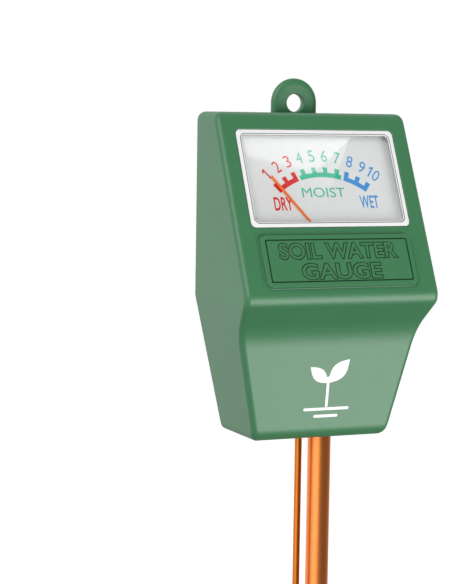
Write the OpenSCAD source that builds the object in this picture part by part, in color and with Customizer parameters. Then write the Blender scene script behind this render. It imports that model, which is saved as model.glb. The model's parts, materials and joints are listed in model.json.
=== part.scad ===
// Analogue soil moisture meter: a wedge-shaped housing with a moving-coil movement,
// driven by the small voltage between two different metal probes pushed into the soil.
// Origin: midway between the two probes, on the underside of the housing.
// +X is right as seen from the front, -Y faces the reader, +Z is up.

/* [Housing] */
// Width of the housing across the window
body_w = 63; // [60:0.5:66]
// Width of the housing at its underside
foot_w = 44; // [42:0.5:46]
// Height of the housing without the hanging loop
body_h = 97.5; // [97:0.5:100]
// Depth of the housing at its top
top_depth = 13.9; // [13.5:0.1:15]
// Depth of the housing at the ridge under the sloping panel
ridge_depth = 40; // [39:0.5:42]
// Height of the ridge
ridge_z = 43.3; // [42.5:0.1:44]
// Depth of the housing at the neck below the ridge
neck_depth = 30.1; // [29:0.1:31]
// Height of the neck
neck_z = 32.8; // [32:0.1:34]
// Depth of the housing at its underside
foot_depth = 25.3; // [25:0.1:27]
// Height at which the sides start to draw in towards the underside
shoulder_z = 42; // [40:1:44]
// Distance from the probe axes to the back of the housing
back_y = 16.5; // [16:0.1:17]
// Wall of the housing
wall = 2; // [1.8:0.1:2.2]
// Wall of the sloping panel
panel_wall = 1.4; // [1.3:0.1:1.4]

/* [Hanging loop] */
// Outer radius of the loop
loop_r = 7.5; // [7:0.1:8]
// Radius of the hanging hole
loop_hole_r = 2.75; // [2:0.05:3]
// Thickness of the loop
loop_t = 2.4; // [2.3:0.1:4]
// Height of the centre of the hanging hole
loop_z = 100.5; // [100.5:0.1:101]
// Rounding of the loop's outer edges
loop_edge = 1; // [0.5:0.1:1.1]
// Rounding of the hanging hole's edges
loop_flare = 0.4; // [0.2:0.1:0.5]

/* [Window and dial] */
// Width of the window
window_w = 52; // [50:0.5:52]
// Height of the window along the panel
window_h = 31.4; // [31:0.1:31.5]
// Height of the window's lower edge above the pointer's axis
window_low = 6.3; // [6.3:0.1:6.5]
// Distance of the pointer's axis from the top edge, along the panel
pivot_s = 43.3; // [43:0.1:44]
// Width of the white bezel round the window
bezel_w = 1.7; // [1.5:0.1:2]
// Width of the raised name plaque
plaque_w = 49.1; // [46:0.1:50]
// Height of the raised name plaque along the panel
plaque_h = 16.3; // [14:0.1:16.5]
// Distance of the plaque's centre from the top edge, along the panel
plaque_s = 47.9; // [47.5:0.1:48.2]
// Height by which the plaque stands proud
plaque_t = 1; // [0.4:0.1:1.2]

/* [Movement] */
// Pointer angle at rest, left of the middle of the scale
pointer_rest = 34.5; // [30:0.5:38]
// Length of the pointer from its axis
pointer_len = 28.3; // [26:0.1:29]
// Radius of the core magnet
core_r = 5.5; // [5:0.1:5.5]
// Inner radius of the yoke ring
yoke_in = 9.2; // [9:0.1:9.3]
// Outer radius of the yoke ring
yoke_out = 10.8; // [10.6:0.1:11]
// Outer radius of the movement frame's barrel
barrel_r = 13; // [12.8:0.1:13]

/* [Probes] */
// Length of the probes below the housing
probe_len = 180; // [150:5:220]
// Distance between the two probe axes
probe_gap = 7; // [7:0.1:8]
// Radius of the thick probe
thick_r = 3.5; // [3.2:0.1:3.5]
// Wall of the thick probe
thick_wall = 0.8; // [0.7:0.1:0.9]
// Length of the thick probe's pointed tip
thick_point = 10; // [8:1:15]
// Radius of the thin probe
thin_r = 1.05; // [1:0.05:1.2]
// Length of the thin probe's pointed tip
thin_point = 5; // [3:1:8]

/* [Hidden] */
$fn = 64;

// Largest angle between two neighbouring points of an arc
arc_step = 8;
// Gap round a piece that is pressed or screwed into another
snug = 0.02;
// Length by which a cutting shape runs past a face
over = 1;

// Angle by which the sloping panel leans back from upright
lean = atan((ridge_depth - top_depth) / (body_h - ridge_z));
pivot_y = back_y - top_depth - pivot_s * sin(lean);
pivot_z = body_h - pivot_s * cos(lean);

// Corners of the side view as [y, z], anticlockwise from the bottom of the back
side_corners = [
    [back_y, 0],
    [back_y, body_h],
    [back_y - top_depth, body_h],
    [back_y - ridge_depth, ridge_z],
    [back_y - neck_depth, neck_z],
    [back_y - foot_depth, 0]
];
top_edge_r = 3;
ridge_r = 3.2;
neck_r = 16;
foot_edge_r = 4.5;
side_radii = [0, 0, top_edge_r, ridge_r, neck_r, foot_edge_r];
cavity_walls = [-5, wall, panel_wall, wall, wall, wall];
cavity_radii = [0, 0, 1, 0.5, neck_r + wall, 0.5];

// Corners of the front view as [x, z], anticlockwise from the bottom right
outline_corners = [
    [foot_w / 2, 0],
    [body_w / 2, shoulder_z],
    [body_w / 2, body_h],
    [-body_w / 2, body_h],
    [-body_w / 2, shoulder_z],
    [-foot_w / 2, 0]
];
outline_r = 3;
shoulder_r = 6;
outline_radii = [outline_r, shoulder_r, outline_r, outline_r, shoulder_r, outline_r];
inner_r = 1;
inner_shoulder_r = 5;
inner_radii = [inner_r, inner_shoulder_r, inner_r, inner_r, inner_shoulder_r, inner_r];

// Rear cover and its screws
cover_t = 2;
cover_gap = 0.15;
cover_face = back_y - cover_t;
cover_spots = [[26, 91], [-26, 91], [17.8, 7], [-17.8, 7]];
block_size = [12.8, 9, 10];
block_shift = [3, 1];
screw_r = 1.1;
screw_len = 7.5;
head_r = 2.2;
head_t = 1.2;

// Depths behind the outside of the sloping panel
bezel_front = 0.05;
bezel_back = 0.7;
lens_front = 0.2;
lens_flange = 2;
lens_flange_w = 1.5;
needle_front = 1.65;
needle_back = 1.9;
rim_top = 2.1;
dial_face = 2.4;
dial_back = 3.6;
bridge_t = 1.2;
barrel_front = dial_back + bridge_t;
barrel_back = 22.6;
ear_front = 6;
ear_back = 7.6;
hub_front = 5.5;
hub_back = 6.1;
spring_front = 6.25;
spring_rear = 20.3;
spring_h = 0.5;
spindle_foot = 0.4;
coil_front = 7.3;
coil_back = 19.7;
winding_t = 0.9;
former_t = 0.4;
former_in = 6.2;
core_front = 9.6;
core_back = 17.4;
yoke_front = 9;
yoke_back = 18;
tag_front = 18;
tag_t = 0.5;

window_mid = window_low + window_h / 2;
plaque_mid = pivot_s - plaque_s;
tray_w = window_w - 0.4;
tray_h = window_h - 0.4;
dial_w = window_w + 2.4;
dial_low = -2.7;
dial_high = window_low + window_h + 1;
dial_notch_w = 28;
dial_notch_high = 4.3;
dial_screw_at = [22, 1.8];
boss_at = [19, -5.7];
boss_r = 2.8;
ear_mid = -2.4;
ear_w = 50;
ear_h = 14.6;
small_r = 0.9;
peg_reach = 7.2;
peg_angle = 45.3;
peg_r = 0.5;
bridge_w = 4;
bridge_screw_at = barrel_r - 1.1;
bridge_screw_r = 0.5;
jewel_r = 1.25;
jewel_len = 2.8;
cup_r = 0.35;
cup_deep = 0.6;
tip_r = 0.3;
staff_r = 0.5;
collet_r = 1.1;
spring_in = 1.25;
spring_out = 5;
spring_turns = 4;
spring_strip = 0.12;
lug_at = barrel_r + 1.6;
resistor_at = -15.5;
lead_r = 0.6;

// Probes and what holds them
thick_x = probe_gap / 2;
thin_x = -probe_gap / 2;
thick_neck = 3.2;
thin_neck = 0.7;
thick_top = 20;
thin_top = 21;
block_low = wall;
block_high = 14;
retainer_t = 0.8;
terminal_t = 0.6;
thick_terminal_z = 16;
thin_terminal_z = 18;

function unit(v) = v / norm(v);
function left_of(v) = [-v.y, v.x];
function turned(p, a) = [p.x * cos(a) - p.y * sin(a), p.x * sin(a) + p.y * cos(a)];
// Where the line through p along a meets the line through q along b
function meet(p, a, q, b) = p + a * cross(q - p, b) / cross(a, b);
// An outline with each side moved inwards by its own distance
function inset(pts, gaps) =
    let (n = len(pts))
    [
        for (i = [0:n - 1])
            let (
                h = (i + n - 1) % n,
                a = unit(pts[i] - pts[h]),
                b = unit(pts[(i + 1) % n] - pts[i])
            )
            meet(pts[i] + left_of(a) * gaps[h], a, pts[i] + left_of(b) * gaps[i], b)
    ];
// The arc that rounds the corner b between a and c
function corner_arc(a, b, c, r) =
    let (
        u = unit(a - b),
        v = unit(c - b),
        half = acos(u * v) / 2,
        middle = b + unit(u + v) * r / sin(half),
        start = b + u * r / tan(half) - middle,
        turn = (180 - 2 * half) * sign(cross(u, v)) * -1,
        steps = ceil(abs(turn) / arc_step)
    )
    r == 0 ? [b] : [for (i = [0:steps]) middle + turned(start, turn * i / steps)];
function rounded(pts, radii) =
    let (n = len(pts))
    [for (i = [0:n - 1]) each corner_arc(pts[(i + n - 1) % n], pts[i], pts[(i + 1) % n], radii[i])];
function same(value, n) = [for (i = [1:n]) value];
function box_points(w, h) = [[-w / 2, -h / 2], [w / 2, -h / 2], [w / 2, h / 2], [-w / 2, h / 2]];
function rounded_box(w, h, r) = rounded(box_points(w, h), same(r, 4));
// A point of the movement, [right, up the panel, outwards], in the housing's own axes
function placed(p) = [
    p.x,
    pivot_y + p.y * sin(lean) - p.z * cos(lean),
    pivot_z + p.y * cos(lean) + p.z * sin(lean)
];
function bezier(p, t) =
    p[0] * pow(1 - t, 3) + p[1] * 3 * t * pow(1 - t, 2) + p[2] * 3 * t * t * (1 - t) + p[3] * pow(t, 3);
function bezier_slope(p, t) =
    unit((p[1] - p[0]) * pow(1 - t, 2) + (p[2] - p[1]) * 2 * t * (1 - t) + (p[3] - p[2]) * t * t);

// Axes of the movement: +Z out of the panel along the pointer's axis, +Y up the panel
module on_panel() {
    translate([0, pivot_y, pivot_z])
        rotate([90 - lean, 0, 0])
            children();
}

// A flat shape that reaches from one depth behind the panel to a deeper one
module slab(from, to) {
    translate([0, 0, -to])
        linear_extrude(to - from)
            children();
}

module disc(r, from, to) {
    translate([0, 0, -to])
        cylinder(r = r, h = to - from);
}

// The moving parts, turned to where the pointer rests
module on_pointer() {
    on_panel()
        rotate([0, 0, pointer_rest])
            children();
}

module both_sides() {
    children();
    mirror([1, 0, 0])
        children();
}

module across_x(pts) {
    rotate([90, 0, 90])
        linear_extrude(2 * body_w, center = true)
            polygon(pts);
}

module through_y(pts, from, to) {
    translate([0, to, 0])
        rotate([90, 0, 0])
            linear_extrude(to - from)
                polygon(pts);
}

module housing_form() {
    intersection() {
        across_x(rounded(side_corners, side_radii));
        through_y(rounded(outline_corners, outline_radii), -body_w, body_w);
    }
}

module cavity_form() {
    intersection() {
        across_x(rounded(inset(side_corners, cavity_walls), cavity_radii));
        through_y(
            rounded(inset(outline_corners, same(wall, 6)), inner_radii),
            -body_w,
            body_w
        );
    }
}

// Solid corners inside the shell that take the rear cover's screws
module screw_blocks() {
    intersection() {
        housing_form();
        for (spot = cover_spots)
            translate([
                spot.x + block_shift.x * sign(spot.x),
                cover_face - block_size.y / 2,
                spot.y + block_shift.y * sign(spot.y - body_h / 2)
            ])
                cube(block_size, center = true);
    }
}

// Half-section of the hanging hole, flared at both faces
function flared_hole(r, flare, t) = [
    [0, -over],
    [r + flare, -over],
    for (a = [270:-15:180]) [r + flare * (1 + cos(a)), flare * (1 + sin(a))],
    for (a = [180:-15:90]) [r + flare * (1 + cos(a)), t + flare * (sin(a) - 1)],
    [r + flare, t + over],
    [0, t + over]
];

// Eye with a half-round top and straight sides, flush with the back
module hanging_loop() {
    loop_low = body_h - wall / 2;
    half_section = rounded(
        [[0, 0], [loop_r, 0], [loop_r, loop_t], [0, loop_t]],
        [0, loop_edge, loop_edge, 0]
    );
    translate([0, back_y, loop_z])
        rotate([90, 0, 0])
            difference() {
                union() {
                    rotate_extrude(angle = 180)
                        polygon(half_section);
                    both_sides()
                        rotate([90, 0, 0])
                            linear_extrude(loop_z - loop_low)
                                polygon(half_section);
                }
                rotate_extrude()
                    polygon(flared_hole(loop_hole_r, loop_flare, loop_t));
            }
}

module front_housing() {
    color([0.29, 0.5, 0.35])
        difference() {
            union() {
                difference() {
                    housing_form();
                    cavity_form();
                }
                screw_blocks();
                hanging_loop();
                on_panel() {
                    translate([0, plaque_mid, 0])
                        slab(-plaque_t, panel_wall / 2)
                            polygon(rounded_box(plaque_w, plaque_h, 2));
                    both_sides()
                        translate(boss_at)
                            disc(boss_r, panel_wall / 2, ear_front);
                }
            }
            on_panel() {
                translate([0, window_mid, 0])
                    slab(-over, panel_wall + over)
                        polygon(rounded_box(window_w, window_h, 2));
                both_sides()
                    translate(boss_at)
                        disc(small_r, 2.5, ear_front + over);
            }
            for (spot = cover_spots)
                translate([spot.x, cover_face + over, spot.y])
                    rotate([90, 0, 0])
                        cylinder(r = screw_r, h = screw_len + over);
            translate([thick_x, 0, -over])
                cylinder(r = thick_neck + snug, h = wall + 2 * over);
            translate([thin_x, 0, -over])
                cylinder(r = thin_neck + snug, h = wall + 2 * over);
        }
}

module rear_cover() {
    color([0.28, 0.48, 0.34])
        difference() {
            through_y(
                rounded(inset(outline_corners, same(wall + cover_gap, 6)), inner_radii),
                cover_face,
                back_y
            );
            for (spot = cover_spots)
                translate([spot.x, back_y, spot.y])
                    rotate([90, 0, 0]) {
                        translate([0, 0, -over])
                            cylinder(r = head_r + 0.2, h = head_t + over + 0.1);
                        cylinder(r = screw_r + 0.2, h = cover_t + over);
                    }
        }
}

module cover_screws() {
    color("silver")
        for (spot = cover_spots)
            translate([spot.x, back_y - 0.1, spot.y])
                rotate([90, 0, 0])
                    difference() {
                        union() {
                            cylinder(r = head_r, h = head_t);
                            cylinder(r = screw_r - snug, h = screw_len);
                        }
                        for (turn = [0, 90])
                            rotate([0, 0, turn])
                                cube([2.4, 0.5, 1.4], center = true);
                    }
}

// Clear window: a stepped plate with a thin flange behind its top and side edges
module window_lens() {
    flange_w = window_w + 2 * lens_flange_w;
    color([0.9, 0.95, 0.95, 0.4])
        on_panel() {
            translate([0, window_mid, 0]) {
                slab(lens_front, bezel_back)
                    polygon(rounded_box(window_w - 2 * bezel_w - 0.1, window_h - 2 * bezel_w - 0.1, 1.5));
                slab(bezel_back, panel_wall)
                    polygon(rounded_box(window_w - 0.1, window_h - 0.1, 1.95));
            }
            difference() {
                translate([0, window_mid + lens_flange_w / 2, 0])
                    slab(panel_wall, lens_flange)
                        polygon(rounded_box(flange_w, window_h + lens_flange_w, 2));
                translate([0, window_mid - lens_flange_w, 0])
                    slab(panel_wall - over, lens_flange + over)
                        polygon(box_points(window_w - 2 * bezel_w + 0.8, window_h + 0.6));
            }
        }
}

// White frame that is bonded to the step round the front of the window
module window_bezel() {
    color("white")
        on_panel()
            translate([0, window_mid, 0])
                difference() {
                    slab(bezel_front, bezel_back)
                        polygon(rounded_box(window_w - 0.1, window_h - 0.1, 1.95));
                    slab(bezel_front - over, bezel_back + over)
                        polygon(rounded_box(window_w - 2 * bezel_w, window_h - 2 * bezel_w, 1.55));
                }
}

// White dial plate: a shallow tray with a rim and two stop pegs for the pointer
module dial_plate() {
    dial_h = dial_high - dial_low;
    color("white")
        on_panel() {
            difference() {
                translate([0, dial_low + dial_h / 2, 0])
                    slab(rim_top, dial_back)
                        polygon(rounded_box(dial_w, dial_h, 1.5));
                translate([0, window_mid, 0])
                    slab(rim_top - over, dial_face)
                        polygon(rounded_box(tray_w, tray_h, 1));
                translate([0, dial_notch_high - dial_h, 0])
                    slab(rim_top - over, dial_back + over)
                        polygon(box_points(dial_notch_w, 2 * dial_h));
                both_sides()
                    translate(dial_screw_at)
                        disc(small_r + 0.1, rim_top - over, dial_back + over);
            }
            both_sides()
                rotate([0, 0, peg_angle])
                    translate([0, peg_reach, 0])
                        disc(peg_r, panel_wall + 0.1, dial_face);
        }
}

// A small screw along the movement's axis, with its head's outer face at the depth given
module small_screw(head_at, shank_r, top_r, top_t, len) {
    difference() {
        union() {
            disc(top_r, head_at, head_at + top_t);
            disc(shank_r - snug, head_at, head_at + len);
        }
        translate([0, 0, -head_at])
            cube([3 * top_r, 0.3, 0.5 * top_t], center = true);
    }
}

module dial_screws() {
    color("silver")
        on_panel()
            both_sides()
                translate(dial_screw_at)
                    small_screw(rim_top - 0.6, small_r - 0.1, 1.7, 0.6, 5);
}

// Moulded frame: ears screwed to the housing, and a barrel that holds the yoke ring
module movement_frame() {
    color([0.16, 0.17, 0.18])
        on_panel()
            difference() {
                union() {
                    translate([0, ear_mid, 0])
                        slab(ear_front, ear_back)
                            polygon(rounded_box(ear_w, ear_h, 2));
                    both_sides()
                        translate(dial_screw_at)
                            disc(boss_r, dial_back, ear_back);
                    disc(barrel_r, barrel_front, barrel_back);
                    both_sides()
                        translate([lug_at - 0.8, 0, 0])
                            slab(13, tag_front)
                                polygon(box_points(4.8, 6));
                }
                disc(yoke_out + snug, barrel_front - over, barrel_back + over);
                both_sides() {
                    translate(dial_screw_at)
                        disc(small_r - 0.1, dial_back - over, dial_back + 3.6);
                    translate(boss_at)
                        disc(small_r + 0.1, ear_front - over, ear_back + over);
                    translate([bridge_screw_at, 0, 0]) {
                        disc(bridge_screw_r, barrel_front - over, barrel_front + 2.5);
                        disc(bridge_screw_r, barrel_back - 2.5, barrel_back + over);
                    }
                }
            }
}

// The same screw seen from behind: head deepest, shank towards the panel
module rear_screw(head_at, shank_r, top_r, top_t, len) {
    translate([0, 0, -2 * head_at])
        mirror([0, 0, 1])
            small_screw(head_at, shank_r, top_r, top_t, len);
}

module movement_screws() {
    color("silver")
        on_panel()
            both_sides()
                translate(boss_at)
                    rear_screw(ear_back + 1, small_r, 1.8, 1, 5.4);
}

module yoke_ring() {
    color([0.45, 0.46, 0.48])
        on_panel()
            difference() {
                disc(yoke_out, yoke_front, yoke_back);
                disc(yoke_in, yoke_front - over, yoke_back + over);
            }
}

module core_magnet() {
    color([0.3, 0.3, 0.32])
        on_panel()
            disc(core_r, core_front, core_back);
}

// Two blocks above and below the magnet, in the sectors that the coil never reaches
module core_supports() {
    web_w = 4.4;
    color([0.75, 0.62, 0.3])
        on_panel()
            for (turn = [0, 180])
                rotate([0, 0, turn])
                    intersection() {
                        difference() {
                            translate([-web_w / 2, 0, -core_back + 0.4])
                                cube([web_w, 2 * yoke_in, core_back - core_front - 0.8]);
                            disc(core_r + snug, core_front, core_back);
                        }
                        disc(yoke_in - snug, core_front, core_back);
                    }
}

module bridge_bar(from) {
    difference() {
        slab(from, from + bridge_t)
            polygon(rounded_box(2 * barrel_r, bridge_w, 1.5));
        disc(jewel_r + snug, from - over, from + bridge_t + over);
        both_sides()
            translate([bridge_screw_at, 0, 0])
                disc(bridge_screw_r + 0.05, from - over, from + bridge_t + over);
    }
}

module front_bridge() {
    color([0.8, 0.68, 0.35])
        on_panel()
            bridge_bar(dial_back);
}

// Rear bridge with the post that holds the outer end of the rear hairspring
module rear_bridge() {
    post_r = 0.35;
    color([0.8, 0.68, 0.35])
        on_panel() {
            bridge_bar(barrel_back);
            translate([spring_out + spring_strip + post_r, 0, 0])
                disc(post_r, spring_rear, barrel_back);
        }
}

module bridge_screws() {
    color("silver")
        on_panel()
            both_sides()
                translate([bridge_screw_at, 0, 0]) {
                    small_screw(dial_back - 0.5, bridge_screw_r, 0.9, 0.5, 3.6);
                    rear_screw(barrel_back + bridge_t + 0.5, bridge_screw_r, 0.9, 0.5, 3.6);
                }
}

// Slotted screw with a cup in its inner end for the spindle's pivot
module jewel_screw(head_at) {
    difference() {
        disc(jewel_r, head_at, head_at + jewel_len);
        disc(cup_r, head_at + jewel_len - cup_deep, head_at + jewel_len + over);
        translate([0, 0, -head_at])
            cube([3 * jewel_r, 0.4, 1], center = true);
    }
}

module front_jewel_screw() {
    color("gold")
        on_panel()
            jewel_screw(barrel_front + 0.4 - jewel_len);
}

module rear_jewel_screw() {
    color("gold")
        on_panel()
            translate([0, 0, -coil_front - coil_back])
                mirror([0, 0, 1])
                    jewel_screw(barrel_front + 0.4 - jewel_len);
}

// Lever that carries the outer end of the front hairspring and sets the pointer's rest
module zero_lever() {
    lever_front = barrel_front + 0.05;
    lever_back = lever_front + 0.3;
    tab_at = spring_out + spring_strip;
    color([0.8, 0.68, 0.35])
        on_panel() {
            difference() {
                union() {
                    disc(2.4, lever_front, lever_back);
                    translate([tab_at / 2 + 1, 0, 0])
                        slab(lever_front, lever_back)
                            polygon(box_points(tab_at - 1.2, 1.2));
                }
                disc(jewel_r + snug, lever_front - over, lever_back + over);
            }
            translate([tab_at + 0.2, 0, 0])
                slab(lever_front, spring_front + spring_h)
                    polygon(box_points(0.4, 1.2));
        }
}

// Flat spiral that runs from the collet to its anchor on the right
module hairspring(front) {
    steps = 20 * spring_turns;
    turn = 360 * spring_turns / steps;
    growth = (spring_out - spring_in) / steps;
    inner = [for (i = [0:steps]) turned([spring_in + growth * i, 0], turn * i)];
    outer = [for (p = inner) p + unit(p) * spring_strip];
    slab(front, front + spring_h)
        polygon([for (i = [0:steps]) outer[i], for (i = [steps:-1:0]) inner[i]]);
}

module front_hairspring() {
    color([0.78, 0.62, 0.3])
        on_panel()
            hairspring(spring_front);
}

module rear_hairspring() {
    color([0.78, 0.62, 0.3])
        on_panel()
            hairspring(spring_rear);
}

// Pointer: a hub with a tail, and a needle cranked forwards to run just over the dial
module pointer() {
    riser_at = 3.5;
    riser_t = 0.5;
    color([0.95, 0.4, 0.1])
        on_pointer() {
            difference() {
                union() {
                    disc(1.5, hub_front, hub_back);
                    translate([0, (riser_at - 8) / 2, 0])
                        slab(hub_front, hub_back - 0.2)
                            polygon(box_points(0.9, riser_at + 8));
                }
                disc(staff_r + snug, hub_front - over, hub_back + over);
            }
            translate([0, riser_at + riser_t / 2, 0])
                slab(needle_front, hub_back - 0.2)
                    polygon(box_points(0.9, riser_t));
            slab(needle_front, needle_back)
                polygon([
                    [0.3, riser_at + riser_t / 2],
                    [0.4, pointer_len],
                    [-0.4, pointer_len],
                    [-0.3, riser_at + riser_t / 2]
                ]);
        }
}

// Small sleeve on the pointer's tail that balances the needle
module balance_weight() {
    weight_len = 1.6;
    color([0.75, 0.6, 0.3])
        on_pointer()
            difference() {
                translate([0, -5.6 - weight_len, -hub_front - 0.2])
                    rotate([-90, 0, 0])
                        cylinder(r = 0.75, h = weight_len);
                slab(hub_front - snug, hub_back - 0.2 + snug)
                    polygon(box_points(0.9 + 2 * snug, 30));
            }
}

// Pivot, staff with the hairspring's collet, and the foot bonded to the coil
module spindle() {
    disc(tip_r, barrel_front - 0.1, hub_front);
    disc(staff_r, hub_front - 0.1, coil_front);
    disc(collet_r, spring_front, spring_front + spring_h);
    disc(2, coil_front - spindle_foot, coil_front);
}

module front_spindle() {
    color([0.6, 0.62, 0.65])
        on_pointer()
            spindle();
}

module rear_spindle() {
    color([0.6, 0.62, 0.65])
        on_pointer()
            translate([0, 0, -coil_front - coil_back])
                mirror([0, 0, 1])
                    spindle();
}

// A rectangular loop round the core, in the plane of the movement's axis
module coil_loop(inner_w, front, back, thick, breadth) {
    deep = back - front;
    translate([0, 0, -(front + back) / 2])
        difference() {
            cube([inner_w + 2 * thick, breadth, deep], center = true);
            cube([inner_w, breadth + over, deep - 2 * thick], center = true);
        }
}

module coil_former() {
    color([0.8, 0.81, 0.83])
        on_pointer()
            coil_loop(2 * former_in, coil_front + winding_t, coil_back - winding_t, former_t, 3.6);
}

module coil_winding() {
    color([0.72, 0.36, 0.16])
        on_pointer()
            coil_loop(2 * (former_in + former_t), coil_front, coil_back, winding_t, 3);
}

module solder_tags() {
    color([0.85, 0.75, 0.45])
        on_panel()
            both_sides()
                translate([lug_at, -7, 0])
                    slab(tag_front, tag_front + tag_t)
                        polygon(rounded_box(3.2, 18, 1));
}

module calibration_resistor() {
    lead_wire = 0.3;
    body_r = 1.2;
    body_len = 7;
    color([0.85, 0.75, 0.55])
        on_panel()
            translate([0, resistor_at, -tag_front - tag_t - lead_wire])
                rotate([0, 90, 0]) {
                    cylinder(r = lead_wire, h = 2 * lug_at, center = true);
                    cylinder(r = body_r, h = body_len, center = true);
                }
}

// A wire along a smooth curve with four control points
module wire(route) {
    rings = 16;
    sides = 8;
    path = [for (i = [0:rings]) i / rings];
    points = [
        for (t = path)
            let (
                along = bezier_slope(route, t),
                side = unit(cross(along, [0, 1, 0])),
                up = cross(side, along)
            )
            for (j = [0:sides - 1])
                bezier(route, t) + lead_r * (side * cos(360 * j / sides) + up * sin(360 * j / sides))
    ];
    skin = [
        for (i = [0:rings - 1])
            for (j = [0:sides - 1])
                let (k = (j + 1) % sides)
                [i * sides + j, i * sides + k, (i + 1) * sides + k, (i + 1) * sides + j]
    ];
    polyhedron(
        points,
        concat(
            [[for (j = [sides - 1:-1:0]) j]],
            skin,
            [[for (j = [0:sides - 1]) rings * sides + j]]
        )
    );
}

module thick_lead() {
    tag = [lug_at, 1, -tag_front - tag_t - lead_r - 0.05];
    color("red")
        wire([
            [11.5, 0, thick_terminal_z + terminal_t],
            [11.5, 0, 27],
            placed(tag - [0, 10, 4]),
            placed(tag)
        ]);
}

module thin_lead() {
    tag = [-lug_at, 1, -tag_front - tag_t - lead_r - 0.05];
    color([0.1, 0.1, 0.1])
        wire([
            [-9.5, 0, thin_terminal_z + terminal_t],
            [-9.5, 0, 28],
            placed(tag - [0, 10, 4]),
            placed(tag)
        ]);
}

module terminal(hole_r, ring_r, reach, breadth) {
    difference() {
        union() {
            cylinder(r = ring_r, h = terminal_t);
            translate([0, -breadth / 2, 0])
                cube([reach, breadth, terminal_t]);
        }
        translate([0, 0, -over])
            cylinder(r = hole_r + snug, h = terminal_t + 2 * over);
    }
}

module thick_terminal() {
    color([0.85, 0.75, 0.45])
        translate([thick_x, 0, thick_terminal_z])
            terminal(thick_neck, 4.6, 10, 4);
}

module thin_terminal() {
    color([0.85, 0.75, 0.45])
        translate([thin_x, 0, thin_terminal_z])
            rotate([0, 0, 180])
                terminal(thin_neck, 2.2, 8, 2.6);
}

module retainer(hole_r, ring_r) {
    translate([0, 0, block_high])
        difference() {
            cylinder(r = ring_r, h = retainer_t);
            translate([0, 0, -over])
                cylinder(r = hole_r + snug, h = retainer_t + 2 * over);
        }
}

module thick_retainer() {
    color("silver")
        translate([thick_x, 0, 0])
            retainer(thick_neck, 4.6);
}

module thin_retainer() {
    color("silver")
        translate([thin_x, 0, 0])
            retainer(thin_neck, 2.2);
}

// Insulating block that holds both probes above the housing's floor
module probe_block() {
    color([0.9, 0.9, 0.88])
        difference() {
            translate([-10, -6, block_low])
                cube([21, 12, block_high - block_low]);
            translate([thick_x, 0, 0])
                cylinder(r = thick_neck + snug, h = block_high + over);
            translate([thin_x, 0, 0])
                cylinder(r = thin_neck + snug, h = block_high + over);
        }
}

module thick_probe_tube() {
    color([0.72, 0.43, 0.2])
        translate([thick_x, 0, 0])
            difference() {
                union() {
                    translate([0, 0, thick_point - probe_len])
                        cylinder(r = thick_r, h = probe_len - thick_point);
                    cylinder(r = thick_neck, h = thick_top);
                }
                translate([0, 0, -probe_len])
                    cylinder(r = thick_r - thick_wall, h = probe_len + thick_top + over);
            }
}

module thick_probe_tip() {
    plug_len = 8;
    color([0.72, 0.43, 0.2])
        translate([thick_x, 0, -probe_len]) {
            cylinder(r1 = 0.3, r2 = thick_r, h = thick_point);
            cylinder(r = 0.3, h = thick_point);
            translate([0, 0, thick_point])
                cylinder(r = thick_r - thick_wall - snug, h = plug_len);
        }
}

module thin_probe() {
    color([0.7, 0.42, 0.2])
        translate([thin_x, 0, 0]) {
            translate([0, 0, -probe_len])
                cylinder(r1 = 0.2, r2 = thin_r, h = thin_point);
            translate([0, 0, thin_point - probe_len])
                cylinder(r = thin_r, h = probe_len - thin_point);
            cylinder(r = thin_neck, h = thin_top);
        }
}

front_housing();
rear_cover();
cover_screws();
window_lens();
window_bezel();
dial_plate();
dial_screws();
movement_frame();
movement_screws();
yoke_ring();
core_magnet();
core_supports();
front_bridge();
rear_bridge();
bridge_screws();
front_jewel_screw();
rear_jewel_screw();
zero_lever();
front_hairspring();
rear_hairspring();
pointer();
balance_weight();
front_spindle();
rear_spindle();
coil_former();
coil_winding();
solder_tags();
calibration_resistor();
thick_lead();
thin_lead();
thick_terminal();
thin_terminal();
thick_retainer();
thin_retainer();
probe_block();
thick_probe_tube();
thick_probe_tip();
thin_probe();
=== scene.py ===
"""Looks of the soil moisture meter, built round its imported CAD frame. Lengths are in metres."""
import json
import math

import bmesh
import bpy
from mathutils import Matrix, Vector


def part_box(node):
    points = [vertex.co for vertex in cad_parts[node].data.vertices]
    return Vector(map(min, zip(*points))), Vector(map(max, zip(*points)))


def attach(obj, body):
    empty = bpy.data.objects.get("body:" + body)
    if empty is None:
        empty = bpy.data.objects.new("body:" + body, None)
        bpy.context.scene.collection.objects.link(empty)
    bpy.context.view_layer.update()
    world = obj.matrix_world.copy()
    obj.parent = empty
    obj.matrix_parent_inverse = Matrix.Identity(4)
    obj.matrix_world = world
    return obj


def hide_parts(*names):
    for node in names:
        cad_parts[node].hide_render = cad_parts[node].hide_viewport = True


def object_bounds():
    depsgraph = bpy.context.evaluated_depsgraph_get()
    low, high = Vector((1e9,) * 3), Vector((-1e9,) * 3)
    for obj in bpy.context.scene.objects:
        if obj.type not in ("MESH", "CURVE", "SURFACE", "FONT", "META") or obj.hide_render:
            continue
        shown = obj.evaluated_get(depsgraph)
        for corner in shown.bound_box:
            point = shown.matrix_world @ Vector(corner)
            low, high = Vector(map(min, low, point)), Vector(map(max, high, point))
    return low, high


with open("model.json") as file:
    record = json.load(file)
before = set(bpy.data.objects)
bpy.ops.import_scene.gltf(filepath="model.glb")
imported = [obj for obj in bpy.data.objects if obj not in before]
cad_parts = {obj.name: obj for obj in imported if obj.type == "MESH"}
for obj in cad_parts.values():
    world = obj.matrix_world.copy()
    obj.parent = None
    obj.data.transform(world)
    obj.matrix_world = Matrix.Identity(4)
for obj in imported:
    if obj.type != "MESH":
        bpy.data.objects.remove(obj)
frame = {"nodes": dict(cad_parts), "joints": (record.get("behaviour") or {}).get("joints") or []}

MM = 0.001
CAD_BOX = [list(corner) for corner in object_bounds()]

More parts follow.
